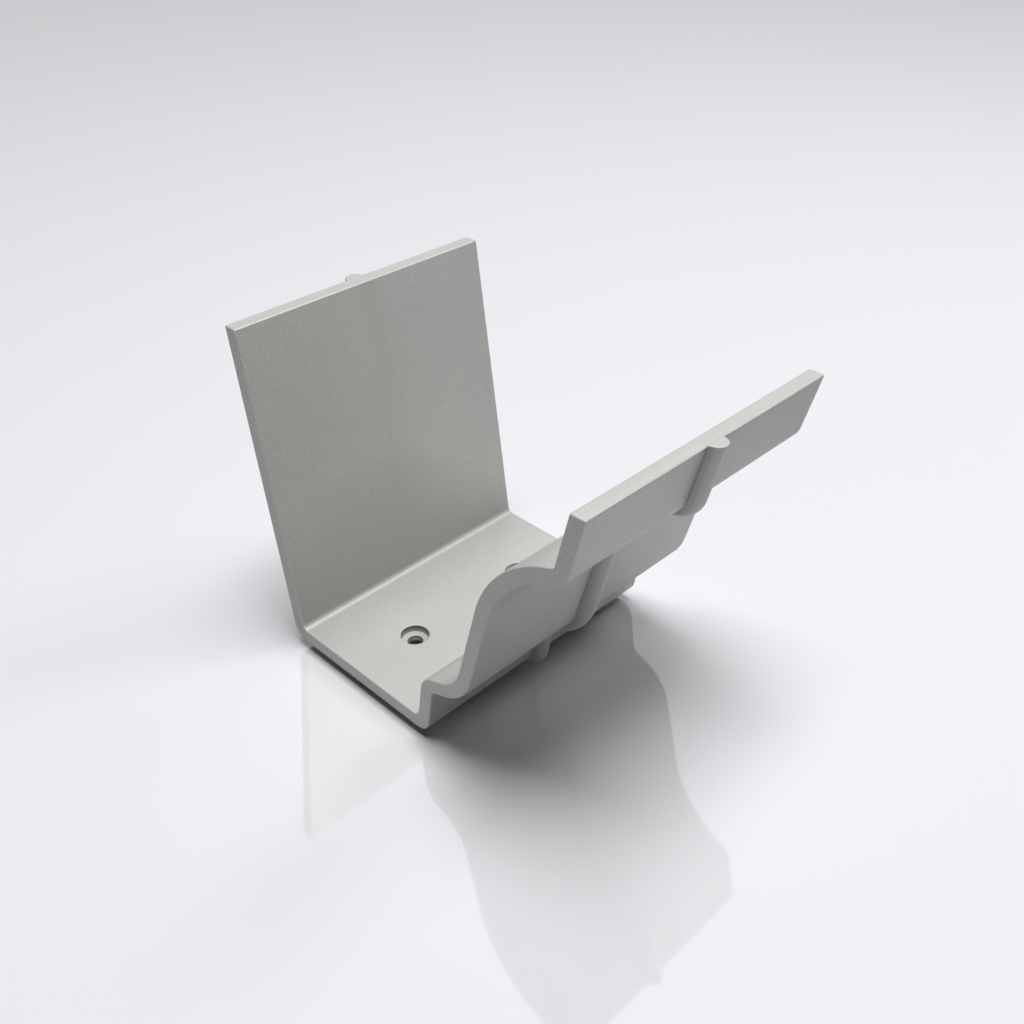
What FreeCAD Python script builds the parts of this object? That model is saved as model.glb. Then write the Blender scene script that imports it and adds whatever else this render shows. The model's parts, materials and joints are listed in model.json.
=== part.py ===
import FreeCAD, Part
import math
import os
import Sketcher

# Gutter union: one casting that carries the meeting ends of two lengths of moulded ogee gutter.
# Millimetres. X runs along the gutter with mid-length at 0, the moulded front faces -Y and Z is up.
# The origin is on the inside floor, midway between the two screw holes.

vector = FreeCAD.Vector
slack = 0.001  # within this, two places count as the same
doc = FreeCAD.newDocument("gutter_union")

# Driving sizes, each in a cell with its own name
driving_sizes = [
    ("length", 93.5, "along the gutter"),
    ("wall", 4.6, "thickness of the casting, the same all round"),
    ("inner_depth", 100, "inside floor to the level top edges"),
    ("floor_width", 55.1, "inside floor, from the back foot to the riser foot"),
    ("screw_setback", 27.3, "back foot to the line of the screw holes"),
    ("back_lean", 8.6, "degrees the back wall leans out"),
    ("riser_out", 2.6, "how far the riser leans forward by its top"),
    ("riser_rise", 17.1, "height of the riser"),
    ("shelf_out", 14.1, "reach of the shelf under the hollow"),
    ("shelf_rise", 5.1, "climb of the shelf under the hollow"),
    ("ogee_out", 14, "how far the long slope of the ogee leans forward"),
    ("ogee_rise", 52.8, "height of the long slope of the ogee"),
    ("shoulder_out", 21.2, "reach of the shoulder below the upstand"),
    ("shoulder_rise", 7.5, "climb of the shoulder below the upstand"),
    ("upstand_lean", 13.7, "degrees the upstand leans forward"),
    ("foot_radius", 2.2, "inside of the turns at both sides of the floor"),
    ("foot_outer_radius", 5.2, "outside of those two turns"),
    ("upstand_root_radius", 1.4, "inside of the turn from shoulder to upstand"),
    ("riser_top_radius", 2.8, "outside of the turn from riser to shelf"),
    ("hollow_radius", 12.9, "inside of the hollow of the ogee"),
    ("shoulder_land", 0.4, "straight left on the shoulder, between the crown of the ogee and the upstand"),
    ("edge_radius", 0.4, "rounding of the ends and of the top edges"),
    ("bead_radius", 3, "half-round bead round the outside"),
    ("bead_root_radius", 0.6, "fillet on each side of the bead"),
    ("bead_root_bite", 0.06, "how far that fillet runs under the wall's surface"),
    ("bead_key", 1.8, "how far the bead's section reaches into the wall"),
    ("bead_crook", 0.4, "turn of the bead's crest under the riser's top"),
    ("bead_overrun", 6, "extra length of the bead before it is cut level with the top"),
    ("screw_spacing", 46.8, "between the two screw holes"),
    ("screw_hole", 5, "diameter through the floor"),
    ("head_recess", 9, "diameter of the recess for the screw head"),
    ("head_recess_depth", 2.4, "depth of that recess"),
]
size = {}
sizes = doc.addObject("Spreadsheet::Sheet", "Sizes")
for row, (name, value, note) in enumerate(driving_sizes, start=1):
    sizes.set(f"A{row}", name)
    sizes.set(f"B{row}", str(value))
    sizes.setAlias(f"B{row}", name)
    sizes.set(f"C{row}", note)
    size[name] = value
doc.recompute()

# The inside of the moulding as straight runs, from the back top round to the front top
run_names = ["back", "floor", "riser", "shelf", "ogee", "shoulder", "upstand"]
climbing_runs = ["riser", "shelf", "ogee", "shoulder"]

# Radius of each turn between two runs, on the inside and on the outside of the wall.
# The crown, between ogee and shoulder, has none: it is as large as leaves the land on the shoulder.
inside_turns = ["foot_radius", "foot_radius", "riser_top_radius + Sizes.wall",
                "hollow_radius", None, "upstand_root_radius"]
outside_turns = ["foot_outer_radius", "foot_outer_radius", "riser_top_radius",
                 "hollow_radius + Sizes.wall", None, "upstand_root_radius + Sizes.wall"]
bead_turns = list(outside_turns)
bead_turns[2] = "bead_radius + Sizes.bead_crook"


def value_of(formula):
    """Number that a sum of named sizes stands for, to start a sketch close to its solution."""
    total = 0
    sign = 1
    for word in formula.replace("Sizes.", "").split():
        if word in "+-":
            sign = 1 if word == "+" else -1
        else:
            total += sign * size[word]
    return total


def guide_corners(top):
    """Corners of the inside runs, in the plane of the section, with both ends carried up to a height."""
    corner = vector(size["screw_setback"], 0, 0)
    corners = [corner + vector(top * math.tan(math.radians(size["back_lean"])), top, 0), corner]
    corner = corner - vector(size["floor_width"], 0, 0)
    corners.append(corner)
    for run in climbing_runs:
        corner = corner + vector(-size[run + "_out"], size[run + "_rise"], 0)
        corners.append(corner)
    climb = top - corner.y
    corners.append(corner + vector(-climb * math.tan(math.radians(size["upstand_lean"])), climb, 0))
    return corners


def moved_outwards(corners, distance):
    """Corners of the same runs, each moved square to itself towards the outside of the trough."""
    normals = []
    for start, end in zip(corners, corners[1:]):
        along = (end - start).normalize()
        normals.append(vector(-along.y, along.x, 0))
    moved = [corners[0] + normals[0] * distance]
    for corner, before, after in zip(corners[1:-1], normals, normals[1:]):
        moved.append(corner + (before + after) * (distance / (1 + before.dot(after))))
    moved.append(corners[-1] + normals[-1] * distance)
    return moved


def half_angle(before, corner, after):
    """Half of the angle between the two runs that meet at a corner."""
    return (before - corner).getAngle(after - corner) / 2


def turn_reaches(corners, turns):
    """How far each turn's arc reaches along both of its runs, worked out from the front top backwards."""
    reaches = []
    for before, corner, after, turn in reversed(list(zip(corners, corners[1:], corners[2:], turns))):
        if turn:
            reach = value_of(turn) / math.tan(half_angle(before, corner, after))
        else:
            reach = (after - corner).Length - reaches[0] - size["shoulder_land"]
        reaches.insert(0, reach)
    return reaches


def attach(sketch, body, role):
    plane = [feature for feature in body.Origin.OriginFeatures if feature.Role == role][0]
    sketch.AttachmentSupport = [(plane, "")]
    sketch.MapMode = "FlatFace"


def bind(sketch, name, formula, *constraint):
    """Add a constraint whose value follows the sheet."""
    index = sketch.addConstraint(Sketcher.Constraint(*constraint))
    sketch.renameConstraint(index, name)
    sketch.setExpression("Constraints." + name, formula)


def add_guide(sketch):
    """Draw the inside runs as construction lines, held to the sheet; the back runs up from its foot."""
    corners = guide_corners(size["inner_depth"])
    ends = [(corners[1], corners[0])] + list(zip(corners[1:], corners[2:]))
    guide = [sketch.addGeometry(Part.LineSegment(*pair), True) for pair in ends]
    back, floor, upstand = guide[0], guide[1], guide[-1]
    sketch.addConstraint(Sketcher.Constraint("Coincident", back, 1, floor, 1))
    for line, following in zip(guide[1:], guide[2:]):
        sketch.addConstraint(Sketcher.Constraint("Coincident", line, 2, following, 1))
    sketch.addConstraint(Sketcher.Constraint("PointOnObject", floor, 1, -1))
    sketch.addConstraint(Sketcher.Constraint("Horizontal", floor))
    bind(sketch, "setback", "Sizes.screw_setback", "DistanceX", -1, 1, floor, 1, size["screw_setback"])
    bind(sketch, "floor", "Sizes.floor_width", "DistanceX", floor, 2, floor, 1, size["floor_width"])
    for run, line in zip(climbing_runs, guide[2:]):
        reach, climb = size[run + "_out"], size[run + "_rise"]
        bind(sketch, run + "_reach", f"Sizes.{run}_out", "DistanceX", line, 2, line, 1, reach)
        bind(sketch, run + "_climb", f"Sizes.{run}_rise", "DistanceY", line, 1, line, 2, climb)
    back_angle = math.radians(90 - size["back_lean"])
    upstand_angle = math.radians(90 + size["upstand_lean"])
    bind(sketch, "back_angle", "(90 - Sizes.back_lean) * 1 deg", "Angle", back, back_angle)
    bind(sketch, "upstand_angle", "(90 + Sizes.upstand_lean) * 1 deg", "Angle", upstand, upstand_angle)
    depth = size["inner_depth"]
    bind(sketch, "back_height", "Sizes.inner_depth", "DistanceY", -1, 1, back, 2, depth)
    bind(sketch, "front_height", "Sizes.inner_depth", "DistanceY", -1, 1, upstand, 2, depth)
    return guide


def add_rounded_run(sketch, label, corners, turns):
    """Draw the runs between corners as lines joined by tangent arcs, held to the sheet."""
    starts = [corners[0]]
    arcs = []
    stops = []
    for before, corner, after, turn, reach in zip(
            corners, corners[1:], corners[2:], turns, turn_reaches(corners, turns)):
        back = (before - corner).normalize()
        ahead = (after - corner).normalize()
        half = half_angle(before, corner, after)
        radius = reach * math.tan(half)
        centre = corner + (back + ahead).normalize() * (radius / math.sin(half))
        stops.append(corner + back * reach)
        starts.append(corner + ahead * reach)
        turns_left = back.cross(ahead).z < 0
        first, last = (stops[-1], starts[-1]) if turns_left else (starts[-1], stops[-1])
        angles = [math.atan2(point.y - centre.y, point.x - centre.x) for point in (first, last)]
        if angles[1] < angles[0]:
            angles[1] += 2 * math.pi
        circle = Part.Circle(centre, vector(0, 0, 1), radius)
        arcs.append((Part.ArcOfCircle(circle, *angles), turns_left, radius, turn))
    stops.append(corners[-1])
    lines = [sketch.addGeometry(Part.LineSegment(*pair), False) for pair in zip(starts, stops)]
    for index, (arc, turns_left, radius, turn) in enumerate(arcs):
        bend = sketch.addGeometry(arc, False)
        enter, leave = (1, 2) if turns_left else (2, 1)
        sketch.addConstraint(Sketcher.Constraint("Tangent", lines[index], 2, bend, enter))
        sketch.addConstraint(Sketcher.Constraint("Tangent", bend, leave, lines[index + 1], 1))
        if turn:
            bind(sketch, f"{label}_turn_{index + 1}", "Sizes." + turn, "Radius", bend, radius)
        else:
            land = size["shoulder_land"]
            bind(sketch, f"{label}_land", "Sizes.shoulder_land", "Distance", lines[index + 1], land)
    return lines


def hold_off(sketch, label, lines, guide):
    """Keep each line one wall outside its guide line."""
    for run, line, guide_line in zip(run_names, lines, guide):
        sketch.addConstraint(Sketcher.Constraint("Parallel", line, guide_line))
        bind(sketch, f"{label}_{run}", "Sizes.wall", "Distance", line, 1, guide_line, size["wall"])


def add_section(body):
    """Section of the casting: the inside runs, the same runs one wall further out, and both top edges."""
    sketch = body.newObject("Sketcher::SketchObject", "WallSection")
    attach(sketch, body, "YZ_Plane")
    guide = add_guide(sketch)
    corners = guide_corners(size["inner_depth"])
    inside = add_rounded_run(sketch, "inside", corners, inside_turns)
    sketch.addConstraint(Sketcher.Constraint("Coincident", inside[0], 1, guide[0], 2))
    sketch.addConstraint(Sketcher.Constraint("PointOnObject", inside[0], 2, guide[0]))
    for line, guide_line in zip(inside[1:-1], guide[1:-1]):
        sketch.addConstraint(Sketcher.Constraint("PointOnObject", line, 1, guide_line))
        sketch.addConstraint(Sketcher.Constraint("PointOnObject", line, 2, guide_line))
    sketch.addConstraint(Sketcher.Constraint("PointOnObject", inside[-1], 1, guide[-1]))
    sketch.addConstraint(Sketcher.Constraint("Coincident", inside[-1], 2, guide[-1], 2))
    outer_corners = moved_outwards(corners, size["wall"])
    outside = add_rounded_run(sketch, "outside", outer_corners, outside_turns)
    hold_off(sketch, "wall", outside, guide)
    for inner_line, outer_line, corner, outer, end in (
        (inside[0], outside[0], corners[0], outer_corners[0], 1),
        (inside[-1], outside[-1], corners[-1], outer_corners[-1], 2),
    ):
        top = sketch.addGeometry(Part.LineSegment(corner, vector(outer.x, corner.y, 0)), False)
        sketch.addConstraint(Sketcher.Constraint("Coincident", top, 1, inner_line, end))
        sketch.addConstraint(Sketcher.Constraint("Coincident", top, 2, outer_line, end))
        sketch.addConstraint(Sketcher.Constraint("Horizontal", top))
    return sketch


def add_soft_edges(body, trough):
    """Round every edge of the two ends and the long edges along both tops."""
    end, top = size["length"] / 2, size["inner_depth"]
    named_edges = []
    for number, edge in enumerate(trough.Shape.Edges, start=1):
        box = edge.BoundBox
        on_end = abs(box.XMin - box.XMax) < slack and abs(abs(box.XMin) - end) < slack
        on_top = abs(box.ZMin - top) < slack and abs(box.ZMax - top) < slack
        if on_end or on_top:
            named_edges.append(f"Edge{number}")
    rounding = body.newObject("PartDesign::Fillet", "SoftEdges")
    rounding.Base = (trough, named_edges)
    rounding.setExpression("Radius", "Sizes.edge_radius")


def add_bead_path(body):
    """Line of the bead: the outside of the wall, carried past both top edges."""
    sketch = body.newObject("Sketcher::SketchObject", "BeadPath")
    attach(sketch, body, "YZ_Plane")
    guide = add_guide(sketch)
    path_top = size["inner_depth"] + size["bead_overrun"]
    corners = moved_outwards(guide_corners(path_top), size["wall"])
    lines = add_rounded_run(sketch, "bead", corners, bead_turns)
    hold_off(sketch, "path", lines, guide)
    top_formula = "Sizes.inner_depth + Sizes.bead_overrun"
    bind(sketch, "back_end", top_formula, "DistanceY", -1, 1, lines[0], 1, path_top)
    bind(sketch, "front_end", top_formula, "DistanceY", -1, 1, lines[-1], 2, path_top)
    return sketch


def add_bead_section(body):
    """Half-round of the bead with a fillet on each side, square to its path where it starts at the back."""
    sketch = body.newObject("Sketcher::SketchObject", "BeadSection")
    attach(sketch, body, "XY_Plane")
    lean = size["back_lean"]
    sketch.AttachmentOffset = FreeCAD.Placement(vector(), FreeCAD.Rotation(vector(-1, 0, 0), lean))
    start_height = "(Sizes.inner_depth + Sizes.bead_overrun)"
    sketch.setExpression("AttachmentOffset.Base.z", start_height)
    sketch.setExpression(
        "AttachmentOffset.Base.y",
        f"Sizes.screw_setback + {start_height} * tan(Sizes.back_lean * 1 deg)"
        " + Sizes.wall / cos(Sizes.back_lean * 1 deg)")
    sketch.setExpression("AttachmentOffset.Rotation.Angle", "Sizes.back_lean * 1 deg")

    radius, root = size["bead_radius"], size["bead_root_radius"]
    bite, key = size["bead_root_bite"], size["bead_key"]
    root_height = root - bite
    root_out = math.sqrt((radius + root) ** 2 - root_height ** 2)
    rise = math.atan2(root_height, root_out)
    up = vector(0, 0, 1)
    crest_circle = Part.Circle(vector(), up, radius)
    right_circle = Part.Circle(vector(root_out, root_height, 0), up, root)
    left_circle = Part.Circle(vector(-root_out, root_height, 0), up, root)
    straight_down = 1.5 * math.pi
    crest = sketch.addGeometry(Part.ArcOfCircle(crest_circle, rise, math.pi - rise), False)
    right = sketch.addGeometry(Part.ArcOfCircle(right_circle, math.pi + rise, straight_down), False)
    left = sketch.addGeometry(Part.ArcOfCircle(left_circle, straight_down, 2 * math.pi - rise), False)
    feet = [vector(root_out, -bite, 0), vector(root_out, -key, 0),
            vector(-root_out, -key, 0), vector(-root_out, -bite, 0)]
    sides = [sketch.addGeometry(Part.LineSegment(*pair), False) for pair in zip(feet, feet[1:])]

    for constraint in (
        ("Coincident", crest, 3, -1, 1),
        ("Tangent", crest, 1, right, 1),
        ("Tangent", crest, 2, left, 2),
        ("Vertical", right, 3, right, 2),
        ("Vertical", left, 3, left, 1),
        ("Coincident", right, 2, sides[0], 1),
        ("Coincident", sides[0], 2, sides[1], 1),
        ("Coincident", sides[1], 2, sides[2], 1),
        ("Coincident", sides[2], 2, left, 1),
        ("Vertical", sides[0]),
        ("Horizontal", sides[1]),
        ("Vertical", sides[2]),
    ):
        sketch.addConstraint(Sketcher.Constraint(*constraint))
    bind(sketch, "crest", "Sizes.bead_radius", "Radius", crest, radius)
    bind(sketch, "root_right", "Sizes.bead_root_radius", "Radius", right, root)
    bind(sketch, "root_left", "Sizes.bead_root_radius", "Radius", left, root)
    bind(sketch, "bite_right", "Sizes.bead_root_bite", "DistanceY", right, 2, -1, 1, bite)
    bind(sketch, "bite_left", "Sizes.bead_root_bite", "DistanceY", left, 1, -1, 1, bite)
    bind(sketch, "key", "Sizes.bead_key", "DistanceY", sides[1], 1, -1, 1, key)
    return sketch


def add_bead_trim(body):
    """Cut that leaves both ends of the bead level with the top edges."""
    sketch = body.newObject("Sketcher::SketchObject", "BeadTrimOutline")
    attach(sketch, body, "XY_Plane")
    sketch.setExpression("AttachmentOffset.Base.z", "Sizes.inner_depth")
    circle = sketch.addGeometry(Part.Circle(vector(), vector(0, 0, 1), 1), False)
    sketch.addConstraint(Sketcher.Constraint("Coincident", circle, 3, -1, 1))
    reaches = ["inner_depth", "floor_width", "riser_out", "shelf_out", "ogee_out", "shoulder_out"]
    bind(sketch, "reach", " + ".join(f"Sizes.{name}" for name in reaches), "Radius", circle, 1)
    trim = body.newObject("PartDesign::Pocket", "BeadTrim")
    trim.Profile = sketch
    trim.Type = "Length"
    trim.Reversed = True
    trim.setExpression("Length", "2 * (Sizes.bead_overrun + Sizes.bead_radius)")
    return trim


def add_screw_holes(body):
    """Two holes through the floor, each with a flat-bottomed recess for the screw head."""
    sketch = body.newObject("Sketcher::SketchObject", "ScrewPlace")
    attach(sketch, body, "XY_Plane")
    first = vector(-size["screw_spacing"] / 2, 0, 0)
    circle = sketch.addGeometry(Part.Circle(first, vector(0, 0, 1), size["screw_hole"] / 2), False)
    sketch.addConstraint(Sketcher.Constraint("PointOnObject", circle, 3, -1))
    bind(sketch, "from_middle", "Sizes.screw_spacing / 2", "DistanceX", circle, 3, -1, 1, -first.x)
    bind(sketch, "across", "Sizes.screw_hole", "Diameter", circle, size["screw_hole"])
    doc.recompute()
    hole = body.newObject("PartDesign::Hole", "ScrewHole")
    hole.Profile = sketch
    hole.ThreadType = "None"
    hole.DepthType = "ThroughAll"
    hole.HoleCutType = "Counterbore"
    hole.HoleCutCustomValues = True
    hole.setExpression("Diameter", "Sizes.screw_hole")
    hole.setExpression("HoleCutDiameter", "Sizes.head_recess")
    hole.setExpression("HoleCutDepth", "Sizes.head_recess_depth")
    doc.recompute()
    pair = body.newObject("PartDesign::LinearPattern", "ScrewHoles")
    pair.Originals = [hole]
    pair.Direction = (sketch, ["H_Axis"])
    pair.setExpression("Length", "Sizes.screw_spacing")
    pair.Occurrences = 2
    body.Tip = pair
    return pair


def union_casting():
    body = doc.addObject("PartDesign::Body", "UnionCasting")
    body.Label = "union_casting"
    trough = body.newObject("PartDesign::Pad", "Trough")
    trough.Profile = add_section(body)
    trough.SideType = "Symmetric"
    trough.setExpression("Length", "Sizes.length")
    doc.recompute()
    add_soft_edges(body, trough)
    doc.recompute()
    path = add_bead_path(body)
    section = add_bead_section(body)
    bead = body.newObject("PartDesign::AdditivePipe", "Bead")
    bead.Profile = section
    bead.Spine = (path, [])
    doc.recompute()
    add_bead_trim(body)
    doc.recompute()
    add_screw_holes(body)
    return body


parts = [union_casting()]
doc.recompute()

for thing in doc.Objects:
    if "Invalid" in thing.State or "Error" in thing.State:
        raise RuntimeError(f"{thing.Name} failed: {thing.State}")
    if thing.isDerivedFrom("Sketcher::SketchObject") and not thing.FullyConstrained:
        raise RuntimeError(f"{thing.Name} is not fully constrained")

os.makedirs("parts", exist_ok=True)
for part in parts:
    if part.Shape.isNull() or not part.Shape.isValid():
        raise RuntimeError(f"{part.Label} has no valid shape")
    part.Shape.exportStep(f"parts/{part.Label}.step")
    box = part.Shape.BoundBox
    print(part.Label, len(part.Shape.Solids), "solid", round(part.Shape.Volume, 1), "mm3")
    print("box", [round(edge, 2) for edge in (box.XMin, box.XMax, box.YMin, box.YMax, box.ZMin, box.ZMax)])
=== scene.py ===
import json
import math

import bmesh
import bpy
import numpy as np
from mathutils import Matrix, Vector


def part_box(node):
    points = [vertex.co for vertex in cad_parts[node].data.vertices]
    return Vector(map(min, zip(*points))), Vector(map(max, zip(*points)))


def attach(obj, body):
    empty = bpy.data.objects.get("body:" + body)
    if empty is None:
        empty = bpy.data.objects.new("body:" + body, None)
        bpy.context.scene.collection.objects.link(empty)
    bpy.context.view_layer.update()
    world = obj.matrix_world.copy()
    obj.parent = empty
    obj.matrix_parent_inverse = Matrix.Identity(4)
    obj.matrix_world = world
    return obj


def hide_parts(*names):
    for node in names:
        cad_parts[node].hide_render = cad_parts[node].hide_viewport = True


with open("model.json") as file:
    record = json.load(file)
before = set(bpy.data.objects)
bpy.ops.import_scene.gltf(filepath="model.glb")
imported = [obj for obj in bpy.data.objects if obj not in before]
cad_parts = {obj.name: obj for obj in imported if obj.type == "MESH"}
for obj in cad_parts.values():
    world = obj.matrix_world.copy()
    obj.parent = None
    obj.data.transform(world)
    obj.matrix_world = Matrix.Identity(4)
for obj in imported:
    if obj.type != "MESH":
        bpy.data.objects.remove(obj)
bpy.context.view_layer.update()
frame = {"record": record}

mm = 0.001
lowCorner, highCorner = (np.array(corner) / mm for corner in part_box("union_casting"))
screwHoles = next(mount for mount in frame["record"]["mounts"] if mount["name"] == "screw_holes")
print("frame loaded, casting", np.round(highCorner - lowCorner, 1), "mm")

colourA, colourB, colourMix = 6, 7, 2    # a Mix node's colour sockets by number: two in, one out


def toLinear(hexColour):
    # sRGB hex to linear: a plain division near black, the 2.4 power curve above it
    srgb = np.array([int(hexColour[i:i + 2], 16) for i in (1, 3, 5)]) / 255
    linear = np.where(srgb <= 0.04045, srgb / 12.92, ((srgb + 0.055) / 1.055) ** 2.4)
    return (*linear, 1.0)


def addNode(tree, kind, settings=None, links=None):
    # a setting goes to the socket of that name or number, or else to the node's own property;
    # a link comes from a socket, or from a node's first output
    node = tree.nodes.new("ShaderNode" + kind)
    for key, value in (settings or {}).items():
        if isinstance(key, int) or key in node.inputs:
            node.inputs[key].default_value = value
        else:
            setattr(node, key, value)
    for key, source in (links or {}).items():
        output = source.outputs[0] if isinstance(source, bpy.types.Node) else source
        tree.links.new(output, node.inputs[key])
    return node


# Cast union with the sizes of the CAD model, lengths in mm
union = {
    "top": highCorner[2],
    "halfLength": highCorner[0],
    "wall": 4.6,
    "floorWidth": 55.1,                  # back foot to riser foot
    "screwSetback": 27.3,                # back foot to the screw holes, which stand on y = 0
    "backLean": math.radians(8.6),
    "upstandLean": math.radians(13.7),
    # riser, shelf, ogee and shoulder: out, up
    "runs": [(2.6, 17.1), (14.1, 5.1), (14.0, 52.8), (21.2, 7.5)],
    "footRadius": 2.2,                   # inside of the turns at both sides of the floor
    "footOuterRadius": 5.2,              # outside of them
    "riserTopRadius": 2.8,               # outside of the turn from riser to shelf
    "hollowRadius": 12.9,                # inside of the hollow
    "upstandRootRadius": 1.4,            # inside of the turn from shoulder to upstand
    "shoulderLand": 0.4,                 # straight left on the shoulder; the crown takes the rest
    "edgeRadius": 0.4,                   # ends and top edges
    "beadRootRadius": 0.5,
    "beadCrook": 0.4,                    # turn left to the bead's crest under the riser's top
    "beadRamp": 2.0,                     # width beside the bead where the wall eases into it
    "holeSpacing": screwHoles["dims"]["spacing_x_mm"],
    "holeRadius": screwHoles["dims"]["hole_r_mm"],
    "recessRadius": 4.5,
    "recessDepth": -screwHoles["pos_m"][2] / mm,
    "rimRadius": 0.22,                   # broken edges of the recess and the hole
    "holePatch": 9.0,                    # half side of the square of floor meshed round a hole
    "weld": 0.002,                       # points nearer than this become one
}
union["beadRadius"] = -lowCorner[2] - union["wall"]   # its crest is the lowest point
# Mesh steps: rows run round the section, columns along the gutter
steps = {
    "lines": [24, 26, 7, 4, 14, 1, 8],   # back, floor (its three stretches together), riser to upstand
    "arcs": [8, 8, 10, 12, 26, 8],       # the turns between them
    "floor": [5, 16, 5],                 # behind the holes, beside them, in front of them
    "flat": [5, 16, 5],                  # end to hole, beside the hole, hole to bead
    "ramp": 4,                           # wall beside the bead
    "root": 4,                           # each root of the bead
    "crest": 22,                         # over the bead
    "edge": 4,                           # round each rounded edge
    "ring": 7,                           # from a hole's circle to its square
}
floorLine, crownArc = 1, 4               # their places among the lines and the arcs
quarter = np.linspace(0, math.pi / 2, steps["edge"] + 1)   # quarter turn of a rounded edge


def spaced(marks, counts):
    # evenly spaced stretches between marks, joined end to end
    stretches = [np.linspace(a, b, n + 1)[:-1] for a, b, n in zip(marks, marks[1:], counts)]
    return np.append(np.concatenate(stretches), marks[-1])


def mirrored(columns):
    # the same columns (x, depth, normal x, normal out) beyond mid-length, in the opposite order
    return columns[:, ::-1] * np.array([[-1], [1], [-1], [1]])


def sectionCorners():
    # corners of the inside in (y, z): back top, back foot, riser foot, one for each run, front top
    top = union["top"]
    foot = np.array([union["screwSetback"], 0.0])
    backTop = foot + [top * math.tan(union["backLean"]), top]
    corners = [backTop, foot, foot - [union["floorWidth"], 0.0]]
    for out, up in union["runs"]:
        corners.append(corners[-1] + [-out, up])
    climb = top - corners[-1][1]
    corners.append(corners[-1] + [-climb * math.tan(union["upstandLean"]), climb])
    return np.array(corners)


def sectionPath(footRadius, riserTopRadius):
    # straight runs joined by tangent arcs: an arc reaches radius / tan(half angle) along its runs, its
    # centre is a radius from the run's end along the normal, and its points follow the normal as it turns;
    # outward is the run turned left
    corners = sectionCorners()
    along = np.diff(corners, axis=0)
    lengths = np.linalg.norm(along, axis=1)
    along /= lengths[:, None]
    outward = np.stack([-along[:, 1], along[:, 0]], 1)
    headings = np.unwrap(np.arctan2(outward[:, 1], outward[:, 0]))
    turns = np.diff(headings)
    halves = (math.pi - abs(turns)) / 2
    radii = np.array([footRadius, footRadius, riserTopRadius + union["wall"], union["hollowRadius"], 0.0,
                      union["upstandRootRadius"]])
    reach = radii / np.tan(halves)
    # the crown's radius is what leaves the land on the shoulder
    reach[crownArc] = lengths[crownArc + 1] - union["shoulderLand"] - reach[crownArc + 1]
    radii[crownArc] = reach[crownArc] * math.tan(halves[crownArc])
    starts = corners[:-1] + along * np.append(0.0, reach)[:, None]
    ends = corners[1:] - along * np.append(reach, 0.0)[:, None]
    points, normals, firstRows = [], [], []
    for i, count in enumerate(steps["lines"]):
        share = np.linspace(0, 1, count + 1)[:, None]
        line = starts[i] + share * (ends[i] - starts[i])
        if i == floorLine:               # the floor's rows fall on the squares round the holes
            patch = union["holePatch"]
            marks = [starts[i][0], patch, -patch, ends[i][0]]
            line[:, 0] = spaced(marks, steps["floor"])
        firstRows.append(sum(map(len, points)))
        points.append(line)
        normals.append(np.repeat(outward[i:i + 1], count + 1, 0))
        if i < len(turns):
            angles = headings[i] + turns[i] * np.linspace(0, 1, steps["arcs"][i] + 1)[1:-1]
            spokes = np.stack([np.cos(angles), np.sin(angles)], 1)
            side = -np.sign(turns[i])    # the centre is inside the trough where the path turns right
            points.append(ends[i] + side * radii[i] * (spokes - outward[i]))
            normals.append(spokes)
    return np.vstack(points), np.vstack(normals), firstRows


def beadColumns():
    # half-round of the bead between two root arcs tangent to it and to the wall: x, height, normal (x, out)
    crest, root = union["beadRadius"], union["beadRootRadius"]
    rise = math.asin(root / (crest + root))
    foot = (crest + root) * math.cos(rise)
    rootAngles = np.linspace(-math.pi / 2, -rise, steps["root"] + 1)[:-1]
    crestAngles = np.linspace(math.pi - rise, rise, steps["crest"] + 1)
    leftRoot = np.stack([root * np.cos(rootAngles) - foot, root + root * np.sin(rootAngles),
                         -np.cos(rootAngles), -np.sin(rootAngles)])
    crestArc = np.stack([crest * np.cos(crestAngles), crest * np.sin(crestAngles),
                         np.cos(crestAngles), np.sin(crestAngles)])
    return np.hstack([leftRoot, crestArc, mirrored(leftRoot)]), foot


def wallLoop():
    # closed loop of the wall in (x, depth out from the inside face): outer columns with the bead, the +X
    # end, inner columns at the same x, the -X end; each with its normal and its share of the bead's path
    wall, edge, half = union["wall"], union["edgeRadius"], union["halfLength"]
    bead, foot = beadColumns()
    middle, patch = union["holeSpacing"] / 2, union["holePatch"]
    ramp = foot + union["beadRamp"]
    marks = [edge - half, -middle - patch, patch - middle, -ramp, -foot]
    left = spaced(marks, steps["flat"] + [steps["ramp"]])[:-1]
    flat = np.stack([left, 0 * left, 0 * left, 0 * left + 1])
    columns = np.hstack([flat, bead, mirrored(flat)])
    columnCount = columns.shape[1]
    ease = np.clip((ramp - abs(columns[0])) / union["beadRamp"], 0, 1)
    ease = ease * ease * (3 - 2 * ease)  # level at both ends
    sine, cosine = np.sin(quarter), np.cos(quarter)
    flatEnd = half - edge
    outer = np.stack([columns[0], wall + columns[1], columns[2], columns[3]])
    outerEdge = np.stack([flatEnd + edge * sine, wall - edge + edge * cosine, sine, cosine])[:, 1:]
    innerEdge = np.stack([flatEnd + edge * cosine, edge - edge * sine, cosine, -sine])[:, :-1]
    inner = np.stack([columns[0], 0 * columns[0], 0 * columns[0], 0 * columns[0] - 1])[:, ::-1]
    loop = np.hstack([outer, outerEdge, innerEdge, inner, mirrored(innerEdge), mirrored(outerEdge)])
    share = np.zeros(loop.shape[1])
    share[:columnCount] = ease
    return loop, share, columnCount


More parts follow.
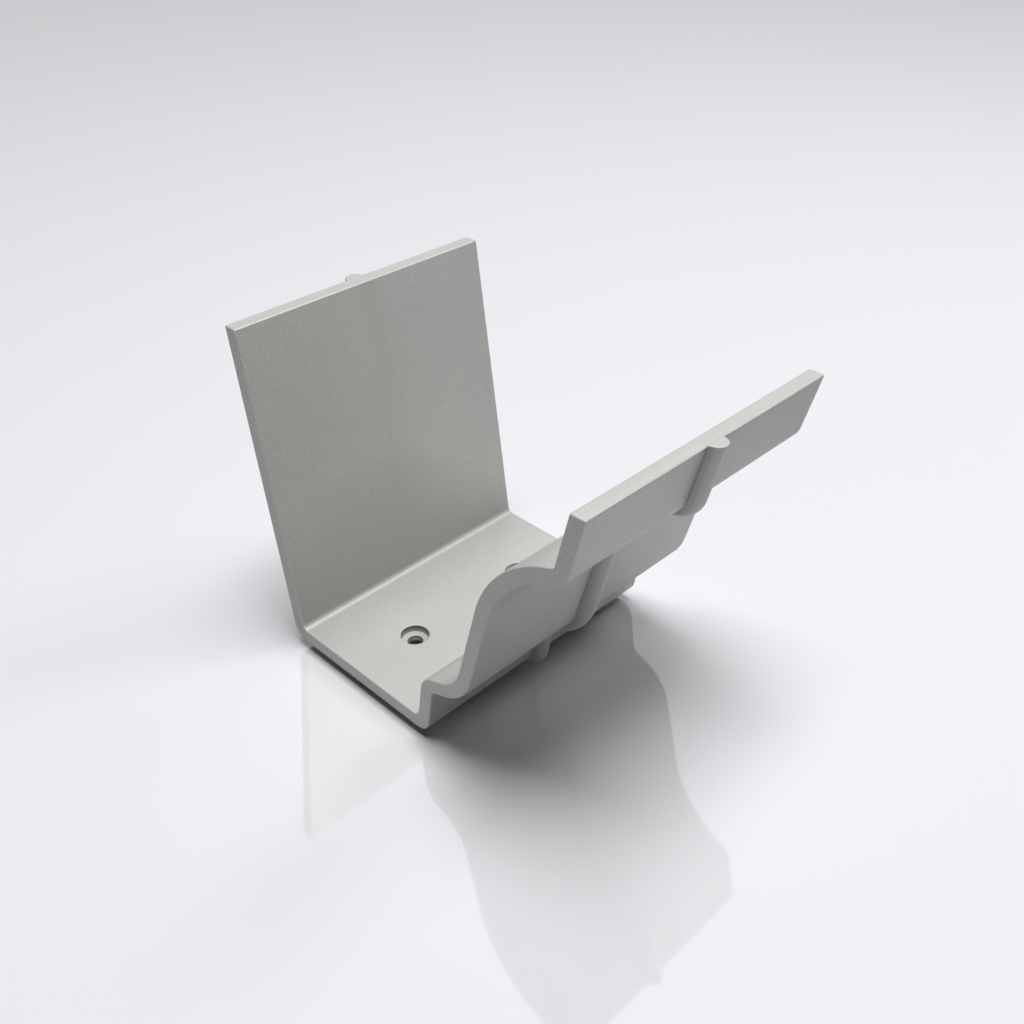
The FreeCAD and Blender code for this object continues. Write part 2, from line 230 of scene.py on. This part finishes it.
def castGrid():
    # rows of the section path times the wall's loop: each point is its path's point moved out by its depth,
    # the path going over from inner to outer radii through the wall; cut level and rounded at both tops
    path, normals, firstRows = sectionPath(union["footRadius"], union["riserTopRadius"])
    outerFoot = union["footOuterRadius"] - union["wall"]
    outerPath = sectionPath(outerFoot, union["riserTopRadius"])[0]
    beadPath = sectionPath(outerFoot, union["beadRadius"] + union["beadCrook"])[0]
    loop, share, columnCount = wallLoop()
    x, depth, normalX, normalOut = loop
    through = np.clip(depth / union["wall"], 0, 1)   # 0 on the inside face, 1 on the outside
    place = path[:, None] + (outerPath - path)[:, None] * through[:, None]
    place = place + (beadPath - outerPath)[:, None] * share[:, None] + normals[:, None] * depth[:, None]
    grid = np.concatenate([np.broadcast_to(x[None, :, None], place.shape[:2] + (1,)), place], 2)

    edge, top = union["edgeRadius"], union["top"]
    turn = quarter[1:, None]
    tops = []
    for rows, lean, out in ((slice(steps["lines"][0], None, -1), union["backLean"], 1),
                            (slice(firstRows[-1], None), union["upstandLean"], -1)):
        base = grid[rows][0]             # where the straight starts; each column then climbs along the lean
        slope = np.array([0.0, out * math.tan(lean), 1.0])
        climb = np.linspace(0, 1, len(grid[rows]))[:, None] * (top - edge - base[:, 2])
        grid[rows] = base + climb[..., None] * slope
        height = top - edge + edge * np.sin(turn)
        inset = edge * (1 - np.cos(turn))
        over = base + (height - base[:, 2])[..., None] * slope
        over[..., 0] -= inset * normalX
        over[..., 1] -= inset * normalOut * out / math.cos(lean)
        tops.append(over)
    grid = np.concatenate([tops[0][::-1], grid, tops[1]])
    return grid, depth, columnCount, steps["edge"] + firstRows[floorLine]


def screwHoleGrid(innerSquare, outerSquare):
    # a profile (radius, height) carried round the hole's axis: broken edge, recess wall, recess floor,
    # broken edge, hole wall, broken edge; at both ends it spreads from the circle to the floor's square
    centre = innerSquare.mean(0)
    angle = np.arctan2(innerSquare[:, 1] - centre[1], innerSquare[:, 0] - centre[0])
    rim, recess, hole = union["rimRadius"], union["recessRadius"], union["holeRadius"]
    depth, wall = union["recessDepth"], union["wall"]
    sine, cosine = np.sin(quarter), np.cos(quarter)
    radius = np.concatenate([recess + rim - rim * sine, recess - rim + rim * cosine,
                             hole + rim - rim * sine, hole + rim - rim * cosine])
    height = np.concatenate([rim * cosine - rim, -depth + rim - rim * sine,
                             -depth - rim + rim * cosine, -wall + rim - rim * sine])
    turned = np.stack([centre[0] + radius[:, None] * np.cos(angle),
                       centre[1] + radius[:, None] * np.sin(angle),
                       np.broadcast_to(height[:, None], (len(height), len(angle)))], 2)
    share = np.linspace(0, 1, steps["ring"] + 1)[:-1, None, None]
    spread = innerSquare + share * (turned[0] - innerSquare)
    closing = outerSquare + share[::-1] * (turned[-1] - outerSquare)
    return np.concatenate([spread, turned, closing])


def ringQuads(index):
    # quads between neighbouring rows of a grid whose rows close on themselves
    ahead = np.roll(index, -1, 1)
    return np.stack([index[:-1], ahead[:-1], ahead[1:], index[1:]], 2)


def castMesh():
    # the grid's quads less the squares round the screw holes, which screwHoleGrid fills, and a strip of
    # quads across the wall at each top
    grid, depth, columnCount, floorRow = castGrid()
    rowCount, loopCount = grid.shape[:2]
    index = np.arange(rowCount * loopCount).reshape(rowCount, loopCount)
    edgeCount = steps["edge"]
    innerStart = columnCount + 2 * edgeCount
    innerOf = innerStart + columnCount - 1 - np.arange(columnCount)   # loop place of the inner column
    keep = np.ones((rowCount - 1, loopCount), bool)
    firstRow = floorRow + steps["floor"][0]
    across, along = steps["flat"][1], steps["floor"][1]   # quads of a square in x and in y
    floorRows = np.arange(firstRow, firstRow + along + 1)
    holes = []
    for first in (steps["flat"][0], columnCount - 1 - steps["flat"][0] - across):
        columns = np.arange(first, first + across + 1)
        keep[np.ix_(floorRows[:-1], columns[:-1])] = False
        keep[np.ix_(floorRows[:-1], innerOf[columns[1:]])] = False
        rim = np.hstack([[np.full(across, floorRows[0]), columns[:-1]],
                         [floorRows[:-1], np.full(along, columns[-1])],
                         [np.full(across, floorRows[-1]), columns[:0:-1]],
                         [floorRows[:0:-1], np.full(along, columns[0])]])
        holes.append(screwHoleGrid(grid[rim[0], innerOf[rim[1]]], grid[rim[0], rim[1]]))

    endTurn = np.arange(edgeCount)
    outerSide = np.concatenate([loopCount - edgeCount + endTurn, np.arange(columnCount + edgeCount)])
    innerSide = np.concatenate([loopCount - edgeCount - 1 - endTurn, innerOf, innerStart - 1 - endTurn])
    caps = [np.stack([row[outerSide[:-1]], row[outerSide[1:]], row[innerSide[1:]], row[innerSide[:-1]]], 1)
            for row in (index[0], index[-1])]
    vertices, faces = [grid.reshape(-1, 3)], [ringQuads(index)[keep]] + caps
    for hole in holes:
        ringIndex = sum(map(len, vertices)) + np.arange(hole[..., 0].size).reshape(hole.shape[:2])
        vertices.append(hole.reshape(-1, 3))
        faces.append(ringQuads(ringIndex).reshape(-1, 4))
    vertices = np.vstack(vertices)
    # each point's share of painted shade, which the material reads
    paintedShade = np.zeros(len(vertices))
    paintedShade[:index.size] = paintedShadeShare(grid, depth).ravel()
    return vertices * mm, np.vstack(faces), paintedShade


def castUnion():
    # one closed mesh: doubles merged, normals outwards, and the flat faces shaded flat up to their edges
    vertices, faces, paintedShade = castMesh()
    mesh = bpy.data.meshes.new("castUnion")
    mesh.from_pydata(vertices.tolist(), [], faces.tolist())
    # the points' share of painted shade goes with the mesh as an attribute
    mesh.attributes.new("paintedShadeAmount", "FLOAT", "POINT").data.foreach_set("value", paintedShade)
    shell = bmesh.new()
    shell.from_mesh(mesh)
    bmesh.ops.remove_doubles(shell, verts=shell.verts, dist=union["weld"] * mm)
    bmesh.ops.dissolve_degenerate(shell, edges=shell.edges, dist=union["weld"] * mm)
    bmesh.ops.recalc_face_normals(shell, faces=shell.faces)
    openEdges = sum(len(rim.link_faces) != 2 for rim in shell.edges)
    shell.to_mesh(mesh)
    shell.free()
    mesh.shade_smooth()
    piece = bpy.data.objects.new("castUnion", mesh)
    bpy.context.scene.collection.objects.link(piece)
    piece.modifiers.new("flatFacesStayFlat", "WEIGHTED_NORMAL")
    print("cast union", len(mesh.vertices), "points", len(mesh.polygons), "faces", openEdges, "open edges")
    return piece


# Cast aluminium, shot blasted: a dull pale grey that scatters most of the light, with a fine even grain,
# faint clouds and upright streaks from the mould. Painted shade darkens the back fold and the bead's roots,
# with a faint darker band behind the bead. The tops have faint sawn lines, the back wall one light scratch,
# and painted shade darkens the wall of one recess. Lengths in mm
finish = {
    "pale": "#d1d1cd",
    "dark": "#b1b1ad",
    "metallic": 0.35,                    # the blasted skin is part bare metal, more of it matt oxide
    "roughness": (0.44, 0.58),
    "cloud": (26.0, 3.0, 0.23),          # size, finer layers, share of the shade
    "streak": ((9.0, 9.0, 120.0), 0.10),   # size in x, y and z, share
    "grain": (0.5, 0.6, 0.67),           # size, roughness, share; true grain, 0.1, is too fine to show
    "grainRange": (0.28, 0.72),          # part of the noise drawn out to full contrast
    "grainDepth": 0.03,
    "sawLine": ((60.0, 0.8, 60.0), 0.28),  # size in x, y and z, share on the tops
    "sawDepth": 0.1,                     # below the tops, where the lines begin
    "paintedShade": "#8b8b85",                   # painted shade: darkens the back fold, the band behind the bead and the bead's roots
    "foldUpWall": (42.0, 52.0, 14.0),    # how far the painted shade goes up the back wall: -X end, mid-length, +X end
    "foldWallShare": 0.54,               # share of the painted shade, low on the wall
    "foldOverFloor": 20.0,               # how far the painted shade goes over the floor
    "foldFloorShare": 0.38,              # share of the painted shade, at the floor's back
    "darkBand": (2.0, 45.0),                 # darker band behind the bead: x of its middle, z where it starts
    "darkBandWidth": 3.5,                    # from its middle to where about a third is left
    "darkBandShare": 0.12,                   # at the top
    "rootFade": [(0.5, 0.75), (4.0, 0.25)],   # painted shade at the bead's roots, narrow and wide: reach, share
    "recessShade": ("#646460", 0.3),         # painted shade on the wall of the -X recess, darkest at its rim; share at its floor
    "recessShadeBand": 0.1,                  # to each side of the recess's radius
    "scratch": ((-30.15, 18.7), (-29.25, 7.6)),   # x, z of its ends on the back wall's inside
    "scratchWidth": 0.35,
    "scratchShade": 0.32,
}


def paintedShadeShare(grid, depth):
    # how much painted shade darkens the cast skin, fading with distance: inside, up the wall and over the
    # floor from the back fold, and in a bell-shaped darker band behind the bead; outside, a narrow and a
    # wide fade from the bead's roots; none on the cut tops
    x, y, z = np.moveaxis(grid, 2, 0)
    half = union["halfLength"]
    upWall = np.interp(x, [-half, 0, half], finish["foldUpWall"])
    away = np.maximum(z / upWall, (union["screwSetback"] - y) / finish["foldOverFloor"])
    onFloor, onWall = finish["foldFloorShare"], finish["foldWallShare"]
    fold = np.clip(1 - away, 0, 1) * (y > 0)
    fold = fold * (onFloor + (onWall - onFloor) * np.clip(z / union["footRadius"], 0, 1))
    # a darker band behind the bead, growing towards the top
    bandMiddle, bandBottom = finish["darkBand"]
    rise = np.clip((z - bandBottom) / (union["top"] - bandBottom), 0, 1) * (y > 0)
    fold = fold + finish["darkBandShare"] * rise * np.exp(-((x - bandMiddle) / finish["darkBandWidth"]) ** 2)
    beside = abs(x) - beadColumns()[1]
    (narrow, narrowShare), (wide, wideShare) = finish["rootFade"]
    root = narrowShare * np.exp(-abs(beside) / narrow)
    root = root + wideShare * np.exp(-abs(beside) / wide) * (beside >= 0)
    paintedShade = np.where(depth <= 0, fold, np.where(depth >= union["wall"], root, 0.0))
    paintedShade[[0, -1]] = 0
    return paintedShade


def castAluminium():
    material = bpy.data.materials.new("castAluminiumShotBlasted")
    material.use_nodes = True
    tree = material.node_tree
    shader = tree.nodes["Principled BSDF"]
    place = addNode(tree, "TexCoord").outputs["Object"]
    axes = addNode(tree, "SeparateXYZ", None, {"Vector": place}).outputs

    # shade between dark and pale: clouds, streaks and grain, each with its own share
    cloudSize, cloudDetail, cloudShare = finish["cloud"]
    clouds = addNode(tree, "TexNoise", {"Scale": 1 / (cloudSize * mm), "Detail": cloudDetail},
                     {"Vector": place})
    streakSize, streakShare = finish["streak"]
    drawn = addNode(tree, "Mapping", {"Scale": [1 / (side * mm) for side in streakSize]}, {"Vector": place})
    streaks = addNode(tree, "TexNoise", {"Scale": 1.0}, {"Vector": drawn})
    grainSize, grainRoughness, grainShare = finish["grain"]
    grain = addNode(tree, "TexNoise", {"Scale": 1 / (grainSize * mm), "Roughness": grainRoughness},
                    {"Vector": place})
    least, most = finish["grainRange"]
    grain = addNode(tree, "MapRange", {"From Min": least, "From Max": most}, {"Value": grain})
    shade = addNode(tree, "Math", {"operation": "MULTIPLY", 1: cloudShare}, {0: clouds})
    shade = addNode(tree, "Math", {"operation": "MULTIPLY_ADD", 1: streakShare}, {0: streaks, 2: shade})
    shade = addNode(tree, "Math", {"operation": "MULTIPLY_ADD", 1: grainShare}, {0: grain, 2: shade})

    # sawn lines run along the gutter on the level tops only
    sawSize, sawShare = finish["sawLine"]
    sawn = addNode(tree, "Mapping", {"Scale": [1 / (side * mm) for side in sawSize]}, {"Vector": place})
    lines = addNode(tree, "TexNoise", {"Scale": 1.0}, {"Vector": sawn})
    lines = addNode(tree, "MapRange", {"From Min": least, "From Max": most}, {"Value": lines})
    level = addNode(tree, "MapRange", {"From Min": (union["top"] - finish["sawDepth"]) * mm,
                                       "From Max": union["top"] * mm, "To Max": sawShare},
                    {"Value": axes["Z"]})
    shade = addNode(tree, "Mix", {"data_type": "FLOAT"}, {"Factor": level, "A": shade, "B": lines})

    # the scratch: share of the way down it, then how far off its line a point lies
    (topX, topZ), (lowX, lowZ) = finish["scratch"]
    along = addNode(tree, "MapRange", {"clamp": False, "From Min": topZ * mm, "From Max": lowZ * mm},
                    {"Value": axes["Z"]})
    middle = addNode(tree, "Math", {"operation": "MULTIPLY_ADD", 1: (lowX - topX) * mm, 2: topX * mm},
                     {0: along})
    line = addNode(tree, "Math", {"operation": "COMPARE", 2: finish["scratchWidth"] / 2 * mm},
                   {0: axes["X"], 1: middle})
    length = addNode(tree, "Math", {"operation": "COMPARE", 1: 0.5, 2: 0.5}, {0: along})   # 0 to 1
    wall = addNode(tree, "Math", {"operation": "GREATER_THAN", 1: union["screwSetback"] * mm},
                   {0: axes["Y"]})
    line = addNode(tree, "Math", {"operation": "MULTIPLY"}, {0: line, 1: length})
    line = addNode(tree, "Math", {"operation": "MULTIPLY"}, {0: line, 1: wall})
    shade = addNode(tree, "Math", {"operation": "MULTIPLY_ADD", 1: finish["scratchShade"]},
                    {0: line, 2: shade})

    dark, pale, paintedShade = (toLinear(finish[name]) for name in ("dark", "pale", "paintedShade"))
    skin = addNode(tree, "Mix", {"data_type": "RGBA", colourA: dark, colourB: pale}, {"Factor": shade})
    # painted shade: the points' share darkens the skin in the back fold, in the band behind the bead and at
    # the bead's roots
    paintedShadeMask = addNode(tree, "Attribute", {"attribute_name": "paintedShadeAmount"})
    skin = addNode(tree, "Mix", {"data_type": "RGBA", colourB: paintedShade},
                   {"Factor": paintedShadeMask.outputs["Fac"], colourA: skin.outputs[colourMix]})

    # painted shade on the wall of the -X recess: points as far from the hole's axis as the recess's radius
    side = addNode(tree, "Math", {"operation": "ADD", 1: union["holeSpacing"] / 2 * mm}, {0: axes["X"]})
    spoke = addNode(tree, "CombineXYZ", None, {"X": side, "Y": axes["Y"]})
    spoke = addNode(tree, "VectorMath", {"operation": "LENGTH"}, {0: spoke})
    cut = addNode(tree, "Math", {"operation": "COMPARE", 1: union["recessRadius"] * mm,
                                 2: finish["recessShadeBand"] * mm}, {0: spoke.outputs["Value"]})
    recessShade, shareLeft = finish["recessShade"]
    below = addNode(tree, "MapRange", {"From Min": -union["recessDepth"] * mm, "From Max": 0.0,
                                       "To Min": shareLeft}, {"Value": axes["Z"]})
    cut = addNode(tree, "Math", {"operation": "MULTIPLY"}, {0: cut, 1: below})
    skin = addNode(tree, "Mix", {"data_type": "RGBA", colourB: toLinear(recessShade)},
                   {"Factor": cut, colourA: skin.outputs[colourMix]})

    smooth, rough = finish["roughness"]
    gloss = addNode(tree, "MapRange", {"To Min": smooth, "To Max": rough}, {"Value": grain})
    pits = addNode(tree, "Bump", {"Distance": finish["grainDepth"] * mm}, {"Height": grain})
    shader.inputs["Metallic"].default_value = finish["metallic"]
    tree.links.new(skin.outputs[colourMix], shader.inputs["Base Color"])
    tree.links.new(gloss.outputs[0], shader.inputs["Roughness"])
    tree.links.new(pits.outputs[0], shader.inputs["Normal"])
    print("cast aluminium", len(tree.nodes), "nodes")
    return material


piece = castUnion()
piece.data.materials.append(castAluminium())
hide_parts("union_casting")
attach(piece, "root")


# Studio: polished pale floor under the bead, soft light from above and from the right, camera at the
# photograph's angle
studio = {
    "floorColour": "#f8f8fc",
    "floorBounce": "#565659",               # what the floor throws back on to the object
    "floorIor": 2.4,                        # polished, mirrors about a fifth at the camera's angle
    "floorRoughness": 0.05,
    "floorSide": 6.0,                       # m
    "surround": "#f6f6fa",
    "lamps": {                              # place in m, side in m, watts
        "overheadSoftbox": ((0.03, -0.09, 1.5), 0.75, 19.9),
        "rightSoftbox": ((0.7, -0.3, 0.8), 0.28, 1.7),
    },
    "eye": (-200.02, -218.52, 242.05),      # mm
    "yaw": math.radians(44.742),            # from +X towards +Y
    "pitch": math.radians(34.849),          # below level
    "lens": 40.559,                         # mm
    "sensor": 36.0,                         # mm
}


def seenRays(tree):
    # 1 for what the camera sees, straight or in a reflection or through glass, 0 for light on the object
    path = addNode(tree, "LightPath").outputs
    seen = addNode(tree, "Math", {"operation": "ADD"}, {0: path["Is Camera Ray"], 1: path["Is Glossy Ray"]})
    seen = addNode(tree, "Math", {"operation": "ADD", "use_clamp": True},
                   {0: seen, 1: path["Is Transmission Ray"]})
    return seen.outputs[0]


def addFloor():
    # polished sheet: near white where it is seen, with a clear mirror image of what stands on it
    half = studio["floorSide"] / 2
    level = lowCorner[2] * mm
    mesh = bpy.data.meshes.new("studioFloor")
    corners = [(-half, -half, level), (half, -half, level), (half, half, level), (-half, half, level)]
    mesh.from_pydata(corners, [], [(0, 1, 2, 3)])
    floor = bpy.data.objects.new("studioFloor", mesh)
    bpy.context.scene.collection.objects.link(floor)
    material = bpy.data.materials.new("polishedPaleFloor")
    material.use_nodes = True
    tree = material.node_tree
    shader = tree.nodes["Principled BSDF"]
    shader.inputs["IOR"].default_value = studio["floorIor"]
    shader.inputs["Roughness"].default_value = studio["floorRoughness"]
    bounce, seen = toLinear(studio["floorBounce"]), toLinear(studio["floorColour"])
    colour = addNode(tree, "Mix", {"data_type": "RGBA", colourA: bounce, colourB: seen},
                     {"Factor": seenRays(tree)})
    tree.links.new(colour.outputs[colourMix], shader.inputs["Base Color"])
    mesh.materials.append(material)


def addLight():
    # a surround that is white where seen and throws no light on the object, and the softboxes, each turned
    # towards the origin
    world = bpy.data.worlds.new("studioSurround")
    world.use_nodes = True
    tree = world.node_tree
    background = tree.nodes["Background"]
    background.inputs["Color"].default_value = toLinear(studio["surround"])
    tree.links.new(seenRays(tree), background.inputs["Strength"])
    bpy.context.scene.world = world
    for name, (place, side, watts) in studio["lamps"].items():
        lamp = bpy.data.lights.new(name, "AREA")
        lamp.size = side
        lamp.energy = watts
        softbox = bpy.data.objects.new(name, lamp)
        softbox.location = place
        softbox.rotation_euler = (-Vector(place)).to_track_quat("-Z", "Y").to_euler()
        bpy.context.scene.collection.objects.link(softbox)


def addCamera():
    lens = bpy.data.cameras.new("photographCamera")
    lens.sensor_width = studio["sensor"]
    lens.lens = studio["lens"]
    camera = bpy.data.objects.new("photographCamera", lens)
    camera.location = Vector(studio["eye"]) * mm
    camera.rotation_euler = (math.pi / 2 - studio["pitch"], 0, studio["yaw"] - math.pi / 2)
    bpy.context.scene.collection.objects.link(camera)
    bpy.context.scene.camera = camera


addFloor()
addLight()
addCamera()
bpy.context.scene.view_settings.view_transform = "Standard"
print("studio set")
